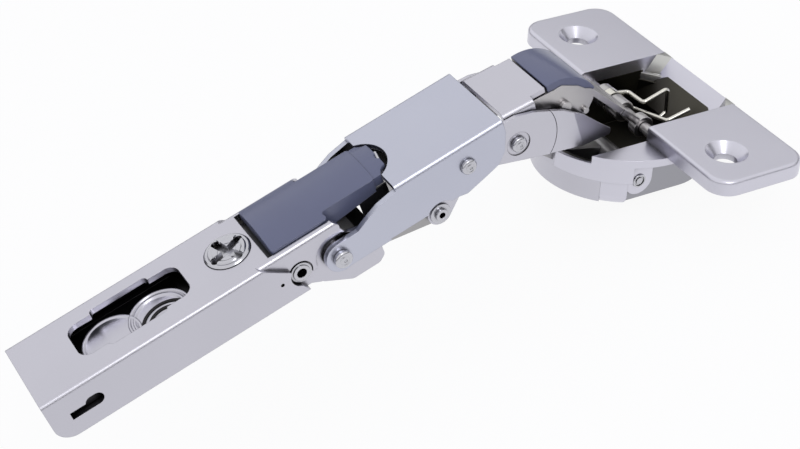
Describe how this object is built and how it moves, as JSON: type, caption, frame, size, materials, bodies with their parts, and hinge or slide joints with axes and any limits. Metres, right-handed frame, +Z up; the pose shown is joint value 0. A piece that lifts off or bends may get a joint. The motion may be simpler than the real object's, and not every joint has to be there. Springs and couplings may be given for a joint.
{
  "type": "concealed cup hinge",
  "caption": "Open concealed furniture hinge: clip-on arm with depth screw and damper, folding levers, and a round cup with a screw flange.",
  "frame": {"origin": "middle of the seat face on the underside of the arm's top sheet, where the arm rests on its mounting plate", "axes": "+X along the arm from its tail towards the cup, +Y across the hinge, +Z up out of the arm's top"},
  "size_m": [0.1368, 0.0658, 0.0385],
  "materials": {
    "nickel_plated_steel": "bright nickel plate, satin",
    "spring_wire": "drawn spring steel wire",
    "grey_moulding": "moulded grey plastic, slightly glossy"
  },
  "bodies": {
    "arm": {"hinge_arm": "nickel_plated_steel", "arm_rivet": "nickel_plated_steel", "arm_pins": "nickel_plated_steel", "pivot_washers": "nickel_plated_steel", "damper_housing": "grey_moulding", "damper_cylinder": "nickel_plated_steel"},
    "depth_screw": {"cam_screw": "nickel_plated_steel"},
    "carrier": {"catch_carrier": "nickel_plated_steel"},
    "plunger": {"damper_plunger": "grey_moulding"},
    "outer_lever": {"outer_lever": "nickel_plated_steel", "lever_pin": "nickel_plated_steel"},
    "inner_lever": {"inner_lever": "nickel_plated_steel"},
    "link_plates": {"link_plate_near": "nickel_plated_steel", "link_plate_far": "nickel_plated_steel", "link_rivet": "nickel_plated_steel"},
    "front_lever": {"front_lever": "nickel_plated_steel", "front_shell": "nickel_plated_steel", "side_plate_near": "nickel_plated_steel", "side_plate_far": "nickel_plated_steel", "front_cap": "grey_moulding", "lever_rivets": "nickel_plated_steel", "front_pins": "nickel_plated_steel"},
    "cup": {"hinge_cup": "nickel_plated_steel", "rear_cup_pin": "nickel_plated_steel", "front_cup_pin": "nickel_plated_steel", "closing_spring": "spring_wire"},
    "cup_link": {"inner_cup_link": "nickel_plated_steel"}
  },
  "joints": [
    {"name": "outer_lever_turn", "type": "hinge", "parent": "arm", "child": "outer_lever", "pos_m": [0.0516, 0, -0.00545], "axis": [0, -1, 0], "range_deg": [0, 44.76]},
    {"name": "inner_lever_turn", "type": "hinge", "parent": "arm", "child": "inner_lever", "pos_m": [0.0443, 0, -0.00465], "axis": [0, -1, 0], "range_deg": [0, 32.07]},
    {"name": "link_plates_turn", "type": "hinge", "parent": "outer_lever", "child": "link_plates", "pos_m": [0.0787, 0, -0.00285], "axis": [0, -1, 0], "range_deg": [0, 6.67]},
    {"name": "front_lever_turn", "type": "hinge", "parent": "link_plates", "child": "front_lever", "pos_m": [0.0894, 0, -0.00595], "axis": [0, -1, 0], "range_deg": [-60.22, 0]},
    {"name": "cup_close", "type": "hinge", "parent": "front_lever", "child": "cup", "pos_m": [0.11476, 0, -0.021], "axis": [0, -1, 0], "range_deg": [0, 119.23], "deforming": ["closing_spring"]},
    {"name": "cup_link_turn", "type": "hinge", "parent": "cup", "child": "cup_link", "pos_m": [0.10738, 0, -0.02423], "axis": [0, -1, 0], "range_deg": [-102.06, 0]},
    {"name": "depth_screw_turn", "type": "hinge", "parent": "arm", "child": "depth_screw", "pos_m": [0.0356, 0, 0.00115], "axis": [0, 0, 1], "range_deg": [-91, 91]},
    {"name": "carrier_slide", "type": "slide", "parent": "arm", "child": "carrier", "axis": [1, 0, 0], "range_m": [-0.0015, 0.0015]},
    {"name": "plunger_push", "type": "slide", "parent": "arm", "child": "plunger", "axis": [-1, 0, 0], "range_m": [0, 0.0025], "stiffness_N_per_m": 120}
  ],
  "couplings": [
    {"joint": "outer_lever_turn", "follows": "cup_close", "ratio": 0.375},
    {"joint": "inner_lever_turn", "follows": "cup_close", "ratio": 0.26852},
    {"joint": "link_plates_turn", "follows": "cup_close", "ratio": 0.055556},
    {"joint": "front_lever_turn", "follows": "cup_close", "ratio": -0.50463},
    {"joint": "cup_link_turn", "follows": "cup_close", "ratio": -0.85556},
    {"joint": "depth_screw_turn", "follows": "carrier_slide", "rad_per_m": -1047.2}
  ]
}
